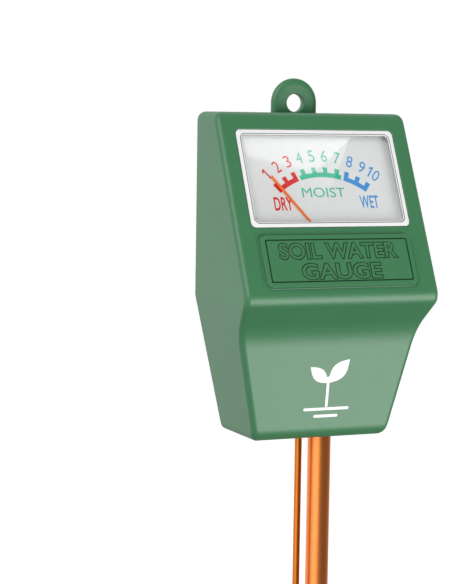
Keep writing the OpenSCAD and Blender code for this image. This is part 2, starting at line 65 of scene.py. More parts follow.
# ---- Sizes taken from the frame --------------------------------------------------------------
SHELL_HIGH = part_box("front_housing")[1]
PIVOT = Vector(frame["joints"][0]["pos_m"])
INWARD = Vector(frame["joints"][0]["axis"]).normalized()

# ---- Housing, sized as in the CAD source, with softer edges ------------------------------------
BACK = SHELL_HIGH.y
HALF_W = SHELL_HIGH.x
FOOT_HALF_W = 22 * MM
BODY_H = 97.5 * MM
SHOULDER_Z = 42 * MM
TOP_DEPTH = 13.9 * MM
RIDGE = (BACK - 40 * MM, 43.3 * MM)
NECK = (BACK - 30.1 * MM, 32.8 * MM)
FOOT = (BACK - 25.3 * MM, 0)
WALL = 2 * MM
PANEL_WALL = 1.4 * MM
EDGE_R = 3 * MM
SHOULDER_R = 8 * MM
BACK_R = 0.6 * MM
FRONT_R = 1.8 * MM
RIDGE_R = 4 * MM
NECK_R = 16 * MM
FOOT_EDGE_R = 4.5 * MM

# ---- Sloping panel: [right, up the panel, outwards] from the pointer's axis -------------------
WINDOW_W = 52 * MM
WINDOW_H = 31.4 * MM
WINDOW_R = 1.5 * MM
WINDOW_RIM_R = 0.35 * MM
WINDOW_MID = 6.3 * MM + WINDOW_H / 2
WINDOW_FIT = 0.12 * MM
BEZEL_W = 1.7 * MM
PLAQUE_W = 49.1 * MM
PLAQUE_H = 16.3 * MM
PLAQUE_MID = -4.6 * MM
# The plaque's thickness is in millimetres, like the rest of its section
PLAQUE_T = 1
BEZEL_TOP = -0.05 * MM
BEZEL_BACK = -0.7 * MM
LENS_TOP = -0.2 * MM
LENS_BACK = -1.4 * MM
RIM_TOP = -2.1 * MM
DIAL_FACE = -2.4 * MM
DIAL_BACK = -3.6 * MM

# ---- Limits of the mesh work -------------------------------------------------------------------
ROUND_STEPS = 10
SHARP_ANGLE = math.radians(32)
LEAST_R = 0.1 * MM
LEAST_LEVEL = 2e-5
NO_LENGTH = 1e-6
NO_HEIGHT = 1e-9
WELD = 1e-7


# ---- Outlines ----------------------------------------------------------------------------------
def corner_arc(a, b, c, r, steps):
    """The arc that rounds the corner b between a and c, as steps + 1 points."""
    a, b, c = Vector(a), Vector(b), Vector(c)
    u, v = (a - b).normalized(), (c - b).normalized()
    half = u.angle(v) / 2
    middle = b + (u + v).normalized() * r / math.sin(half)
    start = b + u * r / math.tan(half) - middle
    end = b + v * r / math.tan(half) - middle
    turn = start.angle_signed(end) * -1
    return [middle + Matrix.Rotation(turn * i / steps, 2) @ start for i in range(steps + 1)]


def rounded(points, radii, steps=8):
    out = []
    for i, (point, r) in enumerate(zip(points, radii)):
        if r == 0:
            out.append(Vector(point))
        else:
            out += corner_arc(points[i - 1], point, points[(i + 1) % len(points)], r, steps)
    return out


def rounded_box(w, h, r, steps=8):
    half = [(-w / 2, -h / 2), (w / 2, -h / 2), (w / 2, h / 2), (-w / 2, h / 2)]
    return rounded(half, [r] * 4, steps)


def shifted(points, gaps):
    """An anticlockwise outline with each side moved inwards by its own distance."""
    points = [Vector(p) for p in points]
    out = []
    for i, point in enumerate(points):
        a = (point - points[i - 1]).normalized()
        b = (points[(i + 1) % len(points)] - point).normalized()
        p = point + Vector((-a.y, a.x)) * gaps[i - 1]
        q = point + Vector((-b.y, b.x)) * gaps[i]
        away = (q - p).x * b.y - (q - p).y * b.x
        out.append(p + a * away / (a.x * b.y - a.y * b.x))
    return out


def at_height(line, z):
    """Where a line of (across, z) points, from top to bottom, passes the height z."""
    for (a, high), (b, low) in zip(line, line[1:]):
        if low - NO_HEIGHT <= z <= high + NO_HEIGHT:
            return a if high - low < NO_HEIGHT else a + (b - a) * (high - z) / (high - low)
    return line[-1][0] if z < line[-1][1] else line[0][0]


# ---- Meshes ------------------------------------------------------------------------------------
def new_piece(name, bm, material=None, smooth=30):
    """A mesh object from a bmesh, smooth-shaded below the angle given in degrees."""
    bmesh.ops.recalc_face_normals(bm, faces=bm.faces)
    mesh = bpy.data.meshes.new(name)
    bm.to_mesh(mesh)
    bm.free()
    piece = bpy.data.objects.new(name, mesh)
    bpy.context.scene.collection.objects.link(piece)
    if smooth:
        mesh.shade_smooth()
        mesh.set_sharp_from_angle(angle=math.radians(smooth))
    if material:
        mesh.materials.append(material)
    return piece


def stacked(bm, rings, cap_first=True, cap_last=True):
    """Joins rings of equally many 3-D points, in order, into a skin."""
    made = [[bm.verts.new(p) for p in ring] for ring in rings]
    for low, high in zip(made, made[1:]):
        for i in range(len(low)):
            j = (i + 1) % len(low)
            bm.faces.new((low[i], low[j], high[j], high[i]))
    if cap_first:
        bm.faces.new(reversed(made[0]))
    if cap_last:
        bm.faces.new(made[-1])
    return made


def box_rings(sections, steps=8):
    """Rings from (width, height, corner radius, level) rows, centred on the Z axis."""
    return [[(p.x, p.y, level) for p in rounded_box(w, h, r, steps)] for w, h, r, level in sections]


def carved(piece, other, operation, crossing=False):
    """The piece after a boolean with the other piece, which is used up and may cross itself."""
    cut = piece.modifiers.new("cut", "BOOLEAN")
    cut.operation = operation
    cut.solver = "EXACT"
    cut.use_self = crossing
    cut.object = other
    bpy.context.view_layer.update()
    seen = piece.evaluated_get(bpy.context.evaluated_depsgraph_get())
    mesh = bpy.data.meshes.new_from_object(seen)
    piece.modifiers.clear()
    piece.data = mesh
    bpy.data.objects.remove(other)
    return piece


def main_skin(piece):
    """Drops the slivers that a boolean of crossing outlines leaves, and closes its gaps."""
    bm = bmesh.new()
    bm.from_mesh(piece.data)
    for face in bm.faces:
        face.tag = False
    skins = []
    for first in bm.faces:
        if first.tag:
            continue
        first.tag = True
        skin = [first]
        for face in skin:
            for edge in face.edges:
                if len(edge.link_faces) != 2:
                    continue
                for beyond in edge.link_faces:
                    if not beyond.tag:
                        beyond.tag = True
                        skin.append(beyond)
        skins.append(skin)
    largest = max(skins, key=len)
    strays = [face for skin in skins if skin is not largest for face in skin]
    bmesh.ops.delete(bm, geom=strays, context="FACES")
    gaps = [edge for edge in bm.edges if len(edge.link_faces) == 1]
    bmesh.ops.holes_fill(bm, edges=gaps, sides=0)
    bm.to_mesh(piece.data)
    bm.free()
    return piece


def joined(piece, others):
    """The others' meshes, as placed, become part of the piece."""
    bm = bmesh.new()
    bm.from_mesh(piece.data)
    for other in others:
        bpy.context.view_layer.update()
        seen = other.evaluated_get(bpy.context.evaluated_depsgraph_get())
        mesh = bpy.data.meshes.new_from_object(seen)
        mesh.transform(other.matrix_world)
        bm.from_mesh(mesh)
        bpy.data.objects.remove(other)
        bpy.data.meshes.remove(mesh)
    bm.to_mesh(piece.data)
    bm.free()
    return piece


def plane_frame(origin, up):
    """Axes [right, up, outwards] of a flat of the housing that faces the reader."""
    right = Vector((1, 0, 0))
    out = right.cross(up)
    axes = Matrix((right, up, out)).transposed().to_4x4()
    return Matrix.Translation(origin) @ axes


PANEL = plane_frame(PIVOT, Vector((0, -INWARD.z, INWARD.y)))
LEAN_LOW = math.atan2(FOOT[0] - NECK[0], NECK[1])
LOWER = plane_frame(
    Vector((0, FOOT[0], 0)), Vector((0, -math.sin(LEAN_LOW), math.cos(LEAN_LOW)))
)


def placed(piece, matrix):
    piece.data.transform(matrix)
    return piece


def on_window(piece):
    return placed(piece, PANEL @ Matrix.Translation((0, WINDOW_MID, 0)))


def finish_piece(piece, body, slot, *nodes):
    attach(piece, body)
    if nodes:
        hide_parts(*nodes)
    return piece


# ---- Materials ---------------------------------------------------------------------------------
SHEEN_DRIFT = 0.12
# How open a corner is, for the painted shade in it: from where it is at its darkest to where it is
# as light as the rest
CORNER_OPEN = (0.35, 0.95)
# Clear plastic: its tint, and the share it mirrors straight on and how that grows with the slant
LENS_TINT = (0.985, 0.99, 0.988, 1)
MIRRORED = 0.039
SLANT_POWER = 5


def material(name, colour, roughness, metallic=0.0, specular=0.5, **more):
    """A principled material and what is needed to add to it."""
    mat = bpy.data.materials.new(name)
    mat.use_nodes = True
    nodes, links = mat.node_tree.nodes, mat.node_tree.links
    shader = nodes["Principled BSDF"]
    shader.inputs["Base Color"].default_value = (*colour, 1)
    shader.inputs["Roughness"].default_value = roughness
    shader.inputs["Metallic"].default_value = metallic
    shader.inputs["Specular IOR Level"].default_value = specular
    for key, value in more.items():
        shader.inputs[key.replace("_", " ")].default_value = value
    return mat, nodes, links, shader


def noise(nodes, links, scale, detail=2, stretch=(1, 1, 1)):
    """Noise over the piece's own coordinates, in metres."""
    place = nodes.new("ShaderNodeTexCoord")
    size = nodes.new("ShaderNodeMapping")
    size.inputs["Scale"].default_value = stretch
    texture = nodes.new("ShaderNodeTexNoise")
    texture.inputs["Scale"].default_value = scale
    texture.inputs["Detail"].default_value = detail
    links.new(place.outputs["Object"], size.inputs["Vector"])
    links.new(size.outputs["Vector"], texture.inputs["Vector"])
    return texture.outputs["Fac"]


def ranged(nodes, links, value, low, high, from_low=0.3, from_high=0.7):
    """The value, moved from one range to another. The range to start with suits a noise."""
    scaled = nodes.new("ShaderNodeMapRange")
    scaled.inputs["From Min"].default_value = from_low
    scaled.inputs["From Max"].default_value = from_high
    scaled.inputs["To Min"].default_value = low
    scaled.inputs["To Max"].default_value = high
    links.new(value, scaled.inputs["Value"])
    return scaled.outputs["Result"]


def tinted(nodes, links, value, dark, light):
    ramp = nodes.new("ShaderNodeMix")
    ramp.data_type = "RGBA"
    ramp.inputs["A"].default_value = (*dark, 1)
    ramp.inputs["B"].default_value = (*light, 1)
    links.new(value, ramp.inputs["Factor"])
    return ramp.outputs["Result"]


def bumped(nodes, links, shader, value, depth):
    bump = nodes.new("ShaderNodeBump")
    bump.inputs["Strength"].default_value = 1.0
    bump.inputs["Distance"].default_value = depth
    links.new(value, bump.inputs["Height"])
    links.new(bump.outputs["Normal"], shader.inputs["Normal"])


def shade(colour, share):
    return tuple(channel * share for channel in colour)


def darker_in_corners(mat, reach, share):
    """Paints shade into the colour of grooves and inner corners, darkest where they are most closed
    in.
    """
    nodes, links = mat.node_tree.nodes, mat.node_tree.links
    colour = nodes["Principled BSDF"].inputs["Base Color"]
    before = colour.links[0].from_socket
    corner = nodes.new("ShaderNodeAmbientOcclusion")
    corner.inputs["Distance"].default_value = reach
    corner.samples = 8
    amount = ranged(nodes, links, corner.outputs["AO"], share, 1.0, *CORNER_OPEN)
    deep = nodes.new("ShaderNodeVectorMath")
    deep.operation = "SCALE"
    links.new(before, deep.inputs[0])
    links.new(amount, deep.inputs["Scale"])
    links.new(deep.outputs["Vector"], colour)
    return mat


def textured(name, colour, roughness, grain=5000, depth=0.00001, spread=0.06, cloud=60,
             stretch=(1, 1, 1), **more):
    """A material whose colour drifts a little, whose roughness varies and that has a fine grain."""
    mat, nodes, links, shader = material(name, colour, roughness, **more)
    drift = noise(nodes, links, cloud, detail=3, stretch=stretch)
    links.new(
        tinted(nodes, links, drift, shade(colour, 1 - spread), shade(colour, 1 + spread)),
        shader.inputs["Base Color"],
    )
    fine = noise(nodes, links, grain, stretch=stretch)
    glossy, dull = roughness * (1 - SHEEN_DRIFT), roughness * (1 + SHEEN_DRIFT)
    links.new(ranged(nodes, links, fine, glossy, dull), shader.inputs["Roughness"])
    bumped(nodes, links, shader, fine, depth)
    return mat


def ink(name, colour, roughness=0.45, spread=0.05):
    return textured(name, colour, roughness, grain=3000, depth=0.000004, spread=spread)


def drawn_copper(name, colour, roughness, spread):
    """Copper whose marks run along the rod."""
    return textured(
        name, colour, roughness, grain=2500, depth=0.000002, spread=spread, cloud=90,
        stretch=(1, 1, 0.02), metallic=1.0,
    )


GREEN = (0.038, 0.180, 0.072)
# The housing green gets painted shade in the plaque's grooves, the letter outlines and other inner
# corners.
PLASTIC = darker_in_corners(
    textured("moulded_green", GREEN, roughness=0.44, grain=4200, depth=0.000012, specular=0.7),
    reach=0.9 * MM, share=0.3,
)
COVER_PLASTIC = textured(
    "cover_green", shade(GREEN, 0.92), roughness=0.42, grain=3600, depth=0.000014, specular=0.7
)
PRINT_WHITE = ink("print_white", (0.9, 0.92, 0.9), roughness=0.5, spread=0.02)
PRINT_RED = ink("print_red", (0.72, 0.002, 0.003))
PRINT_MINT = ink("print_mint", (0.03, 0.52, 0.31))
PRINT_BLUE = ink("print_blue", (0.06, 0.32, 0.72))
NEEDLE = ink("needle_orange", (0.95, 0.19, 0.01), roughness=0.4)
COPPER = drawn_copper("probe_copper", (0.88, 0.27, 0.07), roughness=0.4, spread=0.05)
# The thin rod's copper is the thick rod's copper made darker: painted shade.
THIN_COPPER = drawn_copper("thin_probe_copper", (0.60, 0.17, 0.02), roughness=0.42, spread=0.06)


def dial_material():
    """Smooth moulding in a light grey white, with a faint white glow painted on that lifts the shade
    near the tray's rim.
    """
    return textured(
        "dial_face", (0.69, 0.695, 0.695), roughness=0.4, grain=3000, depth=0.000003,
        # The emission is painted light: a glow that brightens the dial where its rim shades it.
        spread=0.015, cloud=40, Emission_Color=(1, 1, 1, 1), Emission_Strength=0.1,
    )


def bezel_material():
    white = textured(
        "bezel_white", (0.84, 0.845, 0.84), roughness=0.3, grain=2500, depth=0.000003,
        spread=0.01, cloud=40,
    )
    # Painted shade darkens the white in the bezel's groove and inner corners.
    return darker_in_corners(white, reach=0.6 * MM, share=0.35)


def lens_material():
    """Clear plastic, seen through with a mirror-like gloss that follows the angle of view."""
    mat = bpy.data.materials.new("clear_window")
    mat.use_nodes = True
    nodes, links = mat.node_tree.nodes, mat.node_tree.links
    nodes.remove(nodes["Principled BSDF"])
    clear = nodes.new("ShaderNodeBsdfTransparent")
    clear.inputs["Color"].default_value = LENS_TINT
    gloss = nodes.new("ShaderNodeBsdfGlossy")
    haze = noise(nodes, links, scale=25)
    links.new(ranged(nodes, links, haze, low=0.004, high=0.01), gloss.inputs["Roughness"])
    slant = nodes.new("ShaderNodeLayerWeight")
    slant.inputs["Blend"].default_value = 0.5
    steep = nodes.new("ShaderNodeMath")
    steep.operation = "POWER"
    steep.inputs[1].default_value = SLANT_POWER
    links.new(slant.outputs["Facing"], steep.inputs[0])
    both = nodes.new("ShaderNodeMixShader")
    mirrored = ranged(nodes, links, steep.outputs[0], MIRRORED, 1, from_low=0, from_high=1)
    links.new(mirrored, both.inputs["Fac"])
    links.new(clear.outputs["BSDF"], both.inputs[1])
    links.new(gloss.outputs["BSDF"], both.inputs[2])
    links.new(both.outputs["Shader"], nodes["Material Output"].inputs["Surface"])
    return mat


# ---- Housing -----------------------------------------------------------------------------------
SIDE = [(BACK, 0), (BACK, BODY_H), (BACK - TOP_DEPTH, BODY_H), RIDGE, NECK, FOOT]
OUTLINE = [
    (FOOT_HALF_W, 0), (HALF_W, SHOULDER_Z), (HALF_W, BODY_H),
    (-HALF_W, BODY_H), (-HALF_W, SHOULDER_Z), (-FOOT_HALF_W, 0),
]


def housing_rings(side, side_radii, outline, outline_radii, back, front_r, back_r):
    """Level sections, from the top down, of the form that both views bound."""
    front = [(p.x, p.y) for p in rounded(side, side_radii, ROUND_STEPS)]
    rear = back - NO_LENGTH
    first = max(i for i, p in enumerate(front) if p[0] > rear and p[1] > BODY_H / 2)
    front = [p for p in front[first + 1:] if p[0] < rear]
    edge = [(p.x, p.y) for p in rounded(outline, outline_radii, ROUND_STEPS)]
    middle = len(edge) // 2
    edge = list(reversed(edge[:middle]))
    high = min(front[0][1], edge[0][1])
    levels = sorted({round(p[1], 7) for p in front + edge}, reverse=True)
    levels = [z for i, z in enumerate(levels) if i == 0 or levels[i - 1] - z > LEAST_LEVEL]
    rings = []
    for z in levels:
        z = min(z, high)
        w = at_height(edge, z)
        widest = at_height([(HALF_W, BODY_H), (HALF_W, SHOULDER_Z), (FOOT_HALF_W, 0)], z)
        # The outer form's upright edges lose their rounding where its corners draw in
        drawn_in = max(0.0, widest - w) if front_r > MM else 0.0
        y = at_height(front, z)
        near, far = max(front_r - drawn_in, LEAST_R), max(back_r - drawn_in, LEAST_R)
        corners = [(w, y), (w, back), (-w, back), (-w, y)]
        ring = rounded(corners, [near, far, far, near], ROUND_STEPS)
        rings.append([(p.x, p.y, z) for p in ring])
    return rings


def housing_shell():
    bm = bmesh.new()
    stacked(bm, housing_rings(
        SIDE, [0, 0, EDGE_R, RIDGE_R, NECK_R, FOOT_EDGE_R],
        OUTLINE, [EDGE_R, SHOULDER_R, EDGE_R, EDGE_R, SHOULDER_R, EDGE_R],
        BACK, FRONT_R, BACK_R,
    ))
    shell = new_piece("housing_shell", bm)
    bm = bmesh.new()
    inner_side = shifted(SIDE, [-WALL, WALL, PANEL_WALL, WALL, WALL, WALL])
    inner_outline = shifted(OUTLINE, [WALL] * 6)
    corner_r, shoulder_r, top_r, front_r = MM, 6 * MM, 0.8 * MM, 0.5 * MM
    stacked(bm, housing_rings(
        inner_side, [0, 0, top_r, front_r, NECK_R + WALL, front_r],
        inner_outline, [corner_r, shoulder_r, corner_r, corner_r, shoulder_r, corner_r],
        BACK + WALL, corner_r, corner_r,
    ))
    carved(shell, new_piece("cavity", bm), "DIFFERENCE")
    bm = bmesh.new()
    through = 4 * MM
    stacked(bm, box_rings([
        (WINDOW_W, WINDOW_H, WINDOW_R, -through), (WINDOW_W, WINDOW_H, WINDOW_R, through),
    ]))
    carved(shell, on_window(new_piece("window", bm)), "DIFFERENCE")
    soften_window(shell)
    return shell


def soften_window(shell):
    """Rounds the edge between the panel and the window opening."""
    to_panel = PANEL.inverted()
    slack = 1e-5
    half_w, half_h = WINDOW_W / 2 + slack, WINDOW_H / 2 + slack
    bm = bmesh.new()
    bm.from_mesh(shell.data)

    def on_rim(vert):
        p = to_panel @ vert.co
        return abs(p.z) < 2 * slack and abs(p.x) < half_w and abs(p.y - WINDOW_MID) < half_h

    rim = [e for e in bm.edges if on_rim(e.verts[0]) and on_rim(e.verts[1])]
    bmesh.ops.bevel(
        bm, geom=rim, offset=WINDOW_RIM_R, segments=3, profile=0.5, affect="EDGES",
        clamp_overlap=True,
    )
    bm.to_mesh(shell.data)
    bm.free()


def oval_arc(centre, radii, first, last, steps=8):
    """Points of an elliptical arc from angle first to angle last, in degrees."""
    angles = [math.radians(first + (last - first) * i / steps) for i in range(steps + 1)]
    return [(centre[0] + radii[0] * math.cos(a), centre[1] + radii[1] * math.sin(a))
            for a in angles]


def hanging_loop():
    """Eye with a half-round top and straight sides, pillowed in front, with a flared hole."""
    outer, hole, thick = 7.5 * MM, 2.75 * MM, 2.4 * MM
    centre_z, below = 100.5 * MM, 4 * MM
    pillow = (2.2 * MM, 1.1 * MM)
    back_edge, flare = MM, 0.4 * MM
    section = [
        *oval_arc((outer - pillow[0], thick - pillow[1]), pillow, 90, 0),
        *oval_arc((outer - back_edge, back_edge), (back_edge, back_edge), 0, -90),
        *oval_arc((hole + flare, flare), (flare, flare), 270, 180),
        *oval_arc((hole + flare, thick - flare), (flare, flare), 180, 90),
    ]
    turns = 96
    rings = []
    for k in range(turns):
        a = 2 * math.pi * k / turns
        c, s = math.cos(a), math.sin(a)
        ring = []
        for r, depth in section:
            squared = r > (outer + hole) / 2 and s < 0
            reach = r / max(abs(c), -s * r / below) if squared else r
            ring.append((reach * c, BACK - depth, centre_z + reach * s))
        rings.append(ring)
    bm = bmesh.new()
    stacked(bm, rings + rings[:1], cap_first=False, cap_last=False)
    bmesh.ops.remove_doubles(bm, verts=bm.verts, dist=WELD)
    return new_piece("loop", bm)


def plaque():
    """Raised plate with a softened edge and a fine line engraved inside it."""
    # Rows of inset, corner radius and level, in millimetres
    sections = [
        (-0.25, 2.2, -0.4), (-0.25, 2.2, -0.02), (-0.1, 2.1, 0.06), (0, 2, 0.2), (0.04, 2, 0.8),
        (0.12, 1.9, 0.92), (0.3, 1.8, PLAQUE_T), (1.45, 0.5, PLAQUE_T), (1.5, 0.4, PLAQUE_T - 0.45),
        (1.8, 0.3, PLAQUE_T - 0.45), (1.85, 0.3, PLAQUE_T),
    ]
    bm = bmesh.new()
    stacked(bm, box_rings([
        (PLAQUE_W - 2 * run * MM, PLAQUE_H - 2 * run * MM, r * MM, level * MM)
        for run, r, level in sections
    ]))
    return placed(new_piece("plaque", bm), PANEL @ Matrix.Translation((0, PLAQUE_MID, 0)))


def lettering(words, height, width, centre, matrix, outlined=0.0, bold=0.0, lift=0.0, turn=0.0):
    """Flat or outlined lettering of a given height and width, centred on a flat's point."""
    text = bpy.data.curves.new("lettering", "FONT")
    text.body = words
    text.align_x = "CENTER"
    text.offset = bold
    text.size = 1.0
    piece = bpy.data.objects.new("lettering", text)
    bpy.context.scene.collection.objects.link(piece)
    bpy.context.view_layer.update()
    low, high = Vector(piece.bound_box[0]), Vector(piece.bound_box[6])
    size = Vector((width / (high.x - low.x), height / (high.y - low.y), 1))
    if outlined:
        text.fill_mode = "NONE"
        text.bevel_depth = outlined / size.y
        text.bevel_resolution = 2
    bpy.context.view_layer.update()
    seen = piece.evaluated_get(bpy.context.evaluated_depsgraph_get())
    mesh = bpy.data.meshes.new_from_object(seen)
    bpy.data.objects.remove(piece)
    middle = (low + high) / 2
    deep = size.y if outlined else 1
    mesh.transform(
        Matrix.Translation((centre[0], centre[1], lift))
        @ Matrix.Rotation(-turn, 4, "Z")
        @ Matrix.Diagonal((size.x, size.y, deep, 1))
        @ Matrix.Translation((-middle.x, -middle.y, 0))
    )
    mesh.transform(matrix)
    piece = bpy.data.objects.new("lettering", mesh)
    bpy.context.scene.collection.objects.link(piece)
    return piece


def engrave_words(plate):
    """Cuts the outlines of two rows of letters into the plaque."""
    # Words, their width and how far they are above the plaque's middle, in millimetres
    rows = [("SOIL WATER", 38.5, 2.95), ("GAUGE", 26, -3.4)]
    height, line_r, sunk = 5.1 * MM, 0.21 * MM, 0.14
    for words, width, up in rows:
        cutter = lettering(
            words, height, width * MM, (0, PLAQUE_MID + up * MM), PANEL,
            outlined=line_r, bold=0.03, lift=(PLAQUE_T - sunk) * MM,
        )
        carved(plate, cutter, "DIFFERENCE", crossing=True)
    return main_skin(plate)


def build_housing():
    shell = joined(housing_shell(), [hanging_loop(), engrave_words(plaque())])
    mesh = shell.data
    mesh.materials.clear()
    mesh.materials.append(PLASTIC)
    for face in mesh.polygons:
        face.material_index = 0
    mesh.shade_smooth()
    mesh.set_sharp_from_angle(angle=SHARP_ANGLE)
    shell.modifiers.new("flat_faces", "WEIGHTED_NORMAL").keep_sharp = True
    return finish_piece(shell, "housing", "housing_green", "front_housing")


# ---- Print on the lower front ------------------------------------------------------------------
def leaf(bm, root, tip, bulge, lift):
    """A pointed oval between two points, as one flat face."""
    root, tip = Vector(root), Vector(tip)
    across = Vector((-(tip - root).y, (tip - root).x)) * bulge
    steps = 12
    near = [root.lerp(tip, i / steps) + across * math.sin(math.pi * i / steps) for i in range(steps)]
    far = [tip.lerp(root, i / steps) - across * math.sin(math.pi * i / steps) for i in range(steps)]
    bm.faces.new([bm.verts.new((p.x, p.y, lift)) for p in near + far])


def bar(bm, w, h, centre, lift):
    points = rounded_box(w, h, min(w, h) * 0.45, steps=4)
    bm.faces.new([bm.verts.new((p.x + centre[0], p.y + centre[1], lift)) for p in points])


def sprout_print():
    """Generic seedling over two short soil lines, pad-printed in white."""
    across, up, lift = 0.6 * MM, 9.5 * MM, 0.03 * MM
    line, bulge, leaf_lift = 0.9 * MM, 0.24, lift * 1.2
    bm = bmesh.new()
    bar(bm, 15 * MM, line, (across, up), lift)
    bar(bm, 8 * MM, line, (across, up - 2.2 * MM), lift)
    bar(bm, line, 9.5 * MM, (across, up + 5.3 * MM), lift)
    fork = (across, up + 8 * MM)
    leaf(bm, fork, (across - 6.2 * MM, up + 13.2 * MM), bulge, leaf_lift)
    leaf(bm, fork, (across + 6.6 * MM, up + 15.2 * MM), bulge, leaf_lift)
    piece = placed(new_piece("leaf_print", bm, PRINT_WHITE, smooth=0), LOWER)
    return finish_piece(piece, "housing", "print_white")


# ---- Window and dial ---------------------------------------------------------------------------
def window_lens():
    """Stepped clear plate with a softened front edge."""
    w, h = WINDOW_W - WINDOW_FIT, WINDOW_H - WINDOW_FIT
    inner_w, inner_h = w - 2 * BEZEL_W, h - 2 * BEZEL_W
    bm = bmesh.new()
    stacked(bm, box_rings([
        (w, h, WINDOW_R, LENS_BACK),
        (w, h, WINDOW_R, BEZEL_BACK),
        (inner_w, inner_h, WINDOW_R, BEZEL_BACK),
        (inner_w, inner_h, WINDOW_R, LENS_TOP - 0.15 * MM),
        (inner_w - 0.08 * MM, inner_h - 0.08 * MM, 1.47 * MM, LENS_TOP - 0.05 * MM),
        (inner_w - 0.3 * MM, inner_h - 0.3 * MM, 1.4 * MM, LENS_TOP),
    ]))
    piece = on_window(new_piece("clear_lens", bm, lens_material(), smooth=40))
    return finish_piece(piece, "housing", "clear_window", "window_lens")


def window_bezel():
    """White frame with rounded edges and a fine groove, on the lens's step."""
    w, h = WINDOW_W - WINDOW_FIT, WINDOW_H - WINDOW_FIT
    inner_w, inner_h = WINDOW_W - 2 * BEZEL_W, WINDOW_H - 2 * BEZEL_W
    soft = 0.15 * MM
    # Rows of width, height, corner radius in millimetres, and level
    sections = [
        (w, h, 1.5, BEZEL_BACK), (w, h, 1.5, BEZEL_TOP - soft),
        (w - 0.3 * soft, h - 0.3 * soft, 1.48, BEZEL_TOP - 0.3 * soft),
        (w - 2 * soft, h - 2 * soft, 1.4, BEZEL_TOP),
        (inner_w + 1.0 * MM, inner_h + 1.0 * MM, 1.9, BEZEL_TOP),
        (inner_w + 0.98 * MM, inner_h + 0.98 * MM, 1.9, BEZEL_TOP - 0.35 * MM),
        (inner_w + 0.52 * MM, inner_h + 0.52 * MM, 1.7, BEZEL_TOP - 0.35 * MM),
        (inner_w + 0.5 * MM, inner_h + 0.5 * MM, 1.7, BEZEL_TOP),
        (inner_w + 2 * soft, inner_h + 2 * soft, 1.65, BEZEL_TOP),
        (inner_w + 0.6 * soft, inner_h + 0.6 * soft, 1.57, BEZEL_TOP - 0.3 * soft),
        (inner_w, inner_h, 1.5, BEZEL_TOP - soft), (inner_w, inner_h, 1.5, BEZEL_BACK),
    ]
    rings = box_rings([(a, b, r * MM, level) for a, b, r, level in sections])
    bm = bmesh.new()
    stacked(bm, rings + rings[:1], cap_first=False, cap_last=False)
    bmesh.ops.remove_doubles(bm, verts=bm.verts, dist=WELD)
    piece = on_window(new_piece("white_bezel", bm, bezel_material(), smooth=50))
    return finish_piece(piece, "housing", "bezel_white", "window_bezel")


def dial_tray():
    """Dial plate: a shallow tray whose field meets its rim in a small round."""
    w, h = WINDOW_W - 0.4 * MM, WINDOW_H - 0.4 * MM
    outer_w, outer_h = w + 2.4 * MM, h + 2 * MM
    bm = bmesh.new()
    stacked(bm, box_rings([
        (outer_w, outer_h, 1.2 * MM, DIAL_BACK),
        (outer_w, outer_h, 1.2 * MM, RIM_TOP),
        (w + 0.2 * MM, h + 0.2 * MM, 1.1 * MM, RIM_TOP),
        (w, h, 1 * MM, RIM_TOP - 0.08 * MM),
        (w - 0.1 * MM, h - 0.1 * MM, 0.95 * MM, RIM_TOP - 0.2 * MM),
        (w - 0.5 * MM, h - 0.5 * MM, 0.8 * MM, DIAL_FACE),
    ]))
    piece = on_window(new_piece("dial_tray", bm, dial_material(), smooth=60))
    return finish_piece(piece, "housing", "dial_white", "dial_plate")


PRINT_CENTRE = Vector((0.6 * MM, 0.9 * MM, 0))
PRINTED = PANEL @ Matrix.Translation(PRINT_CENTRE)
BAND_IN = 22.4 * MM
BAND_OUT = 23.9 * MM
TOOTH_OUT = 25.6 * MM
TOOTH_HALF = math.radians(1.65)
NUMBER_R = 29.3 * MM
NUMBER_STEP = 8.25
MIDDLE_NUMBER = 5.5
DIGIT_H = 3.8 * MM
DIGIT_W = 1.95 * MM
ARC_STEP = math.radians(1.2)
PRINT_LIFT = DIAL_FACE + 0.03 * MM


def band(name, start, end, teeth, colour):
    """A curved bar with square teeth on its outer side. Angles are in degrees from upright."""
    start, end = math.radians(start), math.radians(end)
    teeth = [math.radians(t) for t in teeth]
    edges = sorted({start, end, *[t - TOOTH_HALF for t in teeth], *[t + TOOTH_HALF for t in teeth]})
    edges = [max(start, min(end, a)) for a in edges]
    bm = bmesh.new()
    for a, b in zip(edges, edges[1:]):
        if b - a < NO_LENGTH:
            continue
        mid = (a + b) / 2
        tall = any(abs(mid - t) <= TOOTH_HALF for t in teeth)
        out = TOOTH_OUT if tall else BAND_OUT
        steps = max(1, round((b - a) / ARC_STEP))
        for i in range(steps):
            p, q = a + (b - a) * i / steps, a + (b - a) * (i + 1) / steps
            ring = [(BAND_IN, p), (BAND_IN, q), (out, q), (out, p)]
            corners = [(r * math.sin(t), r * math.cos(t), PRINT_LIFT) for r, t in ring]
            bm.faces.new([bm.verts.new(corner) for corner in corners])
    bmesh.ops.remove_doubles(bm, verts=bm.verts, dist=NO_LENGTH)
    return placed(new_piece(name, bm, colour, smooth=0), PRINTED)


def printed(name, pieces, colour):
    """Several flat bits of print in one ink as one piece."""
    first = pieces[0]
    joined(first, pieces[1:])
    first.name = name
    first.data.materials.clear()
    first.data.materials.append(colour)
    for face in first.data.polygons:
        face.material_index = 0
    return finish_piece(first, "housing", colour.name)


def digit_one(centre, turn):
    """A plain upright stroke with a flag."""
    half, stem, flag = 1.9 * MM, 0.24 * MM, 0.95 * MM
    outline = [
        (stem, -half), (stem, half), (-stem, half), (-flag, half - 0.75 * MM),
        (-flag, half - 1.3 * MM), (-stem, half - 0.75 * MM), (-stem, -half),
    ]
    spin = Matrix.Rotation(-turn, 2)
    bm = bmesh.new()
    corners = [spin @ Vector(point) + centre for point in outline]
    bm.faces.new([bm.verts.new((corner.x, corner.y, PRINT_LIFT)) for corner in corners])
    return placed(new_piece("one", bm, PRINT_RED, smooth=0), PRINTED)


